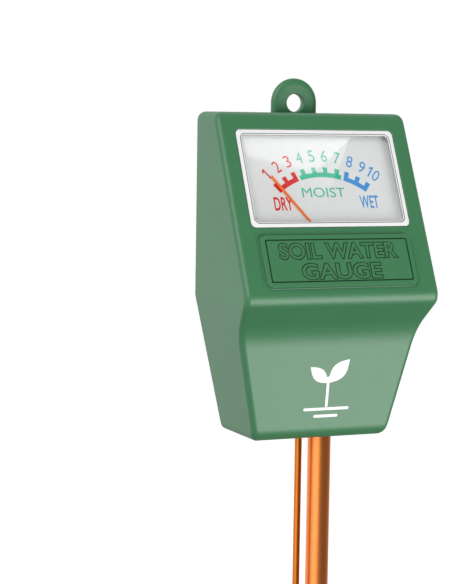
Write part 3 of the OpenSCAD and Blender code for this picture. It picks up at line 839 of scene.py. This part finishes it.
def numbers(*values):
    """The scale's numbers, each turned to stand on the arc."""
    pieces = []
    for value in values:
        angle = math.radians((value - MIDDLE_NUMBER) * NUMBER_STEP)
        middle = NUMBER_R * Vector((math.sin(angle), math.cos(angle)))
        across = Vector((math.cos(angle), -math.sin(angle)))
        digits = (("1", -1.2), ("0", 0.85)) if value == 10 else ((str(value), 0),)
        for digit, shift in digits:
            centre = middle + shift * MM * across
            if digit == "1":
                pieces.append(digit_one(centre, angle))
            else:
                pieces.append(lettering(
                    digit, DIGIT_H, DIGIT_W, centre, PRINTED, lift=PRINT_LIFT, turn=angle
                ))
    return pieces


def word(words, height, width, centre, bold):
    return lettering(
        words, height * MM, width * MM, (centre[0] * MM, centre[1] * MM), PRINTED,
        bold=bold, lift=PRINT_LIFT,
    )


def dial_print():
    printed("print_dry", [
        band("band_dry", -39.6, -19.6, (-37.9, -29.2, -21.3), PRINT_RED),
        *numbers(1, 2, 3),
        word("DRY", height=4.3, width=6.0, centre=(-14.0, 13.8), bold=0.02),
    ], PRINT_RED)
    printed("print_moist", [
        band("band_moist", -17.6, 16.4, (-13.6, -4.9, 3.9, 12.7), PRINT_MINT),
        *numbers(4, 5, 6, 7),
        word("MOIST", height=3.1, width=14.2, centre=(-0.2, 17.4), bold=0.0),
    ], PRINT_MINT)
    printed("print_wet", [
        band("band_wet", 18.5, 38.5, (20.2, 28.7, 36.8), PRINT_BLUE),
        *numbers(8, 9, 10),
        word("WET", height=4.1, width=6.2, centre=(14.5, 14.3), bold=0.015),
    ], PRINT_BLUE)


# ---- CAD nodes that stay as they are -----------------------------------------------------------
def dress(names, mat):
    for name in names:
        node = frame["nodes"][name]
        node.data.materials.clear()
        node.data.materials.append(mat)
        for face in node.data.polygons:
            face.material_index = 0


def turned_metal(name, colour):
    return textured(
        name, colour, roughness=0.3, grain=3000, depth=0.000003, spread=0.05, metallic=1.0
    )


# Node, material, colour, roughness, grain and metallic share
INNER_LOOKS = (
    ("movement_frame", "frame_black", (0.03, 0.03, 0.033), 0.5, 4000, 0.0),
    ("yoke_ring", "soft_iron", (0.35, 0.36, 0.38), 0.4, 3000, 1.0),
    ("core_magnet", "magnet_grey", (0.14, 0.14, 0.15), 0.5, 3000, 0.6),
    ("core_supports", "support_plastic", (0.62, 0.45, 0.16), 0.5, 4000, 0.0),
    ("coil_former", "aluminium", (0.8, 0.81, 0.83), 0.3, 3000, 1.0),
    ("calibration_resistor", "resistor", (0.62, 0.5, 0.28), 0.4, 3000, 0.0),
    ("thick_lead", "lead_red", (0.5, 0.012, 0.01), 0.45, 3000, 0.0),
    ("thin_lead", "lead_black", (0.015, 0.015, 0.015), 0.45, 3000, 0.0),
    ("probe_block", "insulator", (0.78, 0.78, 0.74), 0.45, 4000, 0.0),
)


def dress_cad_nodes():
    steel = turned_metal("plated_steel", (0.62, 0.63, 0.65))
    brass = turned_metal("brass", (0.78, 0.58, 0.26))
    dress(["rear_cover"], COVER_PLASTIC)
    dress(["pointer"], NEEDLE)
    dress(["thick_probe_tube", "thick_probe_tip"], COPPER)
    dress(["thin_probe"], THIN_COPPER)
    dress(["cover_screws", "dial_screws", "movement_screws", "bridge_screws",
           "thick_retainer", "thin_retainer", "front_spindle", "rear_spindle"], steel)
    dress(["front_bridge", "rear_bridge", "front_jewel_screw", "rear_jewel_screw", "zero_lever",
           "balance_weight", "solder_tags", "thick_terminal", "thin_terminal",
           "front_hairspring", "rear_hairspring"], brass)
    for name, slot, colour, roughness, grain, metallic in INNER_LOOKS:
        dress([name], textured(slot, colour, roughness, grain=grain, metallic=metallic))
    winding = textured(
        "winding", (0.55, 0.18, 0.05), roughness=0.35, grain=6000, depth=0.00003,
        stretch=(1, 1, 0.05), metallic=0.8,
    )
    dress(["coil_winding"], winding)


# ---- Camera, lights and floor ------------------------------------------------------------------
# The first two angles and the distance place the camera round AIM, the other two aim it
AZIMUTH = math.radians(25.57)
PITCH = math.radians(5.48)
ROLL = math.radians(0.845)
TURN = math.radians(2.59)
DISTANCE = 0.5627
AIM = Vector((0, 1.5 * MM, 43.0 * MM))
SENSOR = 36
FOCAL_LENGTH = 114.226
# Two panel points, in millimetres, that the glare's right edge passes, and how far below and
# above its middle the glare reaches full dark and full light, as shares of its length
GLARE_EDGE = ((-1.8, 11.5), (12.7, 36.9))
GLARE_FADE = (0.9, 0.6)
# Light of the surroundings: straight down, at stops between down (0) and up (1), straight up
SKY_BELOW = 0.35
SKY_STOPS = ((0.22, 0.4), (0.36, 0.95), (0.54, 0.9), (0.75, 0.65))
SKY_ABOVE = 0.65
BRIGHT_SIDE = Vector((-0.6, 0.8, 0))
FLOOR_GAP = 0.2 * MM
FLOOR_REACH = 6.0


def camera():
    back = Vector((
        -math.sin(AZIMUTH) * math.cos(PITCH), -math.cos(AZIMUTH) * math.cos(PITCH), math.sin(PITCH)
    ))
    turn = Matrix.Rotation(TURN, 3, "Z")
    forward = turn @ -back
    right = forward.cross(Vector((0, 0, 1))).normalized()
    up = right.cross(forward)
    tilted = Matrix.Rotation(ROLL, 3, forward * -1)
    right, up = tilted @ right, tilted @ up
    view = bpy.data.cameras.new("camera")
    view.sensor_fit = "AUTO"
    view.sensor_width = SENSOR
    view.lens = FOCAL_LENGTH
    view.clip_start = 0.01
    piece = bpy.data.objects.new("camera", view)
    piece.matrix_world = (
        Matrix.Translation(AIM + back * DISTANCE)
        @ Matrix((right, up, -forward)).transposed().to_4x4()
    )
    bpy.context.scene.collection.objects.link(piece)
    bpy.context.scene.camera = piece
    return piece


def softbox(name, middle, away, up, width, height, radiance):
    """A rectangular light that faces against away, with up along its height."""
    lamp = bpy.data.lights.new(name, "AREA")
    lamp.shape = "RECTANGLE"
    lamp.size = width
    lamp.size_y = height
    lamp.energy = radiance * math.pi * width * height
    piece = bpy.data.objects.new(name, lamp)
    side = Vector(up).cross(away).normalized()
    axes = Matrix((side, Vector(away).cross(side).normalized(), Vector(away).normalized()))
    piece.matrix_world = Matrix.Translation(middle) @ axes.transposed().to_4x4()
    piece.visible_camera = False
    bpy.context.scene.collection.objects.link(piece)
    return piece


def softbox_at(name, towards, distance, width, height, radiance):
    away = Vector(towards).normalized()
    middle = AIM + away * distance
    return softbox(name, middle, away, Vector((0, 0, 1)), width, height, radiance)


def window_glare(eye, distance, width, height, radiance):
    """A strip light whose mirrored side crosses the window on a slant, fading down the window."""
    out = PANEL.to_3x3() @ Vector((0, 0, 1))
    ends = []
    for x, y in GLARE_EDGE:
        spot = PANEL @ Vector((x * MM, y * MM, LENS_TOP))
        ray = (spot - eye).normalized()
        ends.append((spot, ray - 2 * ray.dot(out) * out))
    away = (ends[0][1] + ends[1][1]).normalized()
    centre = ends[0][0].lerp(ends[1][0], 0.5) + away * distance
    low, high = (
        spot + ray * ((centre - spot).dot(away) / ray.dot(away)) for spot, ray in ends
    )
    up = (high - low).normalized()
    side = up.cross(away).normalized()
    middle = low.lerp(high, 0.5) - side * width / 2
    piece = softbox("window_glare", middle, away, up, width, height, radiance)
    lamp = piece.data
    lamp.use_nodes = True
    nodes, links = lamp.node_tree.nodes, lamp.node_tree.links
    spot = nodes.new("ShaderNodeNewGeometry")
    split = nodes.new("ShaderNodeSeparateXYZ")
    links.new(spot.outputs["Parametric"], split.inputs["Vector"])
    span = (high - low).length / height / 2
    dark, full = 0.5 - span * GLARE_FADE[0], 0.5 + span * GLARE_FADE[1]
    fade = ranged(nodes, links, split.outputs["Y"], 0, 1, from_low=dark, from_high=full)
    links.new(fade, nodes["Emission"].inputs["Strength"])
    return piece


def lit_by(light, names, state):
    """Limits a light to the named pieces, or keeps it off them."""
    receivers = bpy.data.collections.new(light.name + "_receivers")
    for name in names:
        receivers.objects.link(bpy.data.objects[name])
        receivers.collection_objects[-1].light_linking.link_state = state
    light.light_linking.receiver_collection = receivers


def studio_world():
    """Bright behind and to the left, dimmer in front, dark below."""
    world = bpy.data.worlds.new("studio")
    bpy.context.scene.world = world
    world.use_nodes = True
    nodes, links = world.node_tree.nodes, world.node_tree.links
    place = nodes.new("ShaderNodeTexCoord")
    split = nodes.new("ShaderNodeSeparateXYZ")
    links.new(place.outputs["Generated"], split.inputs["Vector"])
    ramp = nodes.new("ShaderNodeValToRGB")
    rise = ranged(nodes, links, split.outputs["Z"], 0, 1, from_low=-1, from_high=1)
    links.new(rise, ramp.inputs["Fac"])
    stops = ramp.color_ramp.elements
    stops[0].position, stops[0].color = 0.0, (SKY_BELOW, SKY_BELOW, SKY_BELOW, 1)
    stops[1].position, stops[1].color = 1.0, (SKY_ABOVE, SKY_ABOVE, SKY_ABOVE, 1)
    for where, level in SKY_STOPS:
        stop = stops.new(where)
        stop.color = (level, level, level, 1)
    behind = nodes.new("ShaderNodeVectorMath")
    behind.operation = "DOT_PRODUCT"
    behind.inputs[1].default_value = BRIGHT_SIDE
    links.new(place.outputs["Generated"], behind.inputs[0])
    side = ranged(
        nodes, links, behind.outputs["Value"], low=0.25, high=1.2, from_low=-0.8, from_high=0.6
    )
    lit = nodes.new("ShaderNodeVectorMath")
    lit.operation = "SCALE"
    links.new(ramp.outputs["Color"], lit.inputs[0])
    links.new(side, lit.inputs["Scale"])
    paths = nodes.new("ShaderNodeLightPath")
    pick = nodes.new("ShaderNodeMix")
    pick.data_type = "RGBA"
    links.new(paths.outputs["Is Camera Ray"], pick.inputs["Factor"])
    links.new(lit.outputs["Vector"], pick.inputs["A"])
    pick.inputs["B"].default_value = (1, 1, 1, 1)
    links.new(pick.outputs["Result"], nodes["Background"].inputs["Color"])


def pale_floor():
    """Plain floor under the probes' tips, which neither shades nor lights the meter."""
    bm = bmesh.new()
    floor_z = CAD_BOX[0][2] - FLOOR_GAP
    corners = rounded_box(2 * FLOOR_REACH, 2 * FLOOR_REACH, 0)
    bm.faces.new([bm.verts.new((p.x, p.y, floor_z)) for p in corners])
    white = textured(
        "floor_white", (0.9, 0.9, 0.9), roughness=0.6, grain=400, depth=0.00002, spread=0.01,
        Emission_Color=(1, 1, 1, 1), Emission_Strength=0.5,
    )
    floor = new_piece("floor", bm, white, smooth=0)
    floor.visible_diffuse = False
    floor.visible_glossy = False
    floor.visible_shadow = False


def studio(view):
    studio_world()
    low = softbox_at(
        "low_front", towards=(0.43, -0.84, -0.36), distance=0.8, width=0.55, height=0.54,
        radiance=5.6,
    )
    softbox_at(
        "key", towards=(-0.55, -0.6, 0.6), distance=0.9, width=0.6, height=0.6, radiance=3.3
    )
    softbox_at(
        "top_back", towards=(0.2, 0.4, 0.9), distance=0.9, width=0.7, height=0.5, radiance=0.8
    )
    strip = softbox_at(
        "left_strip", towards=(-0.75, -0.65, -0.1), distance=0.8, width=0.8, height=0.9,
        radiance=1.3,
    )
    eye = view.matrix_world.translation
    glare = window_glare(eye, distance=0.9, width=0.5, height=0.8, radiance=4.2)
    lit_by(glare, ["clear_lens"], "INCLUDE")
    rods = ["thick_probe_tube", "thick_probe_tip", "thin_probe"]
    lit_by(low, rods, "EXCLUDE")
    lit_by(strip, rods, "INCLUDE")
    pale_floor()
    bpy.context.scene.view_settings.view_transform = "Standard"


build_housing()
sprout_print()
window_lens()
window_bezel()
dial_tray()
dial_print()
dress_cad_nodes()
studio(camera())
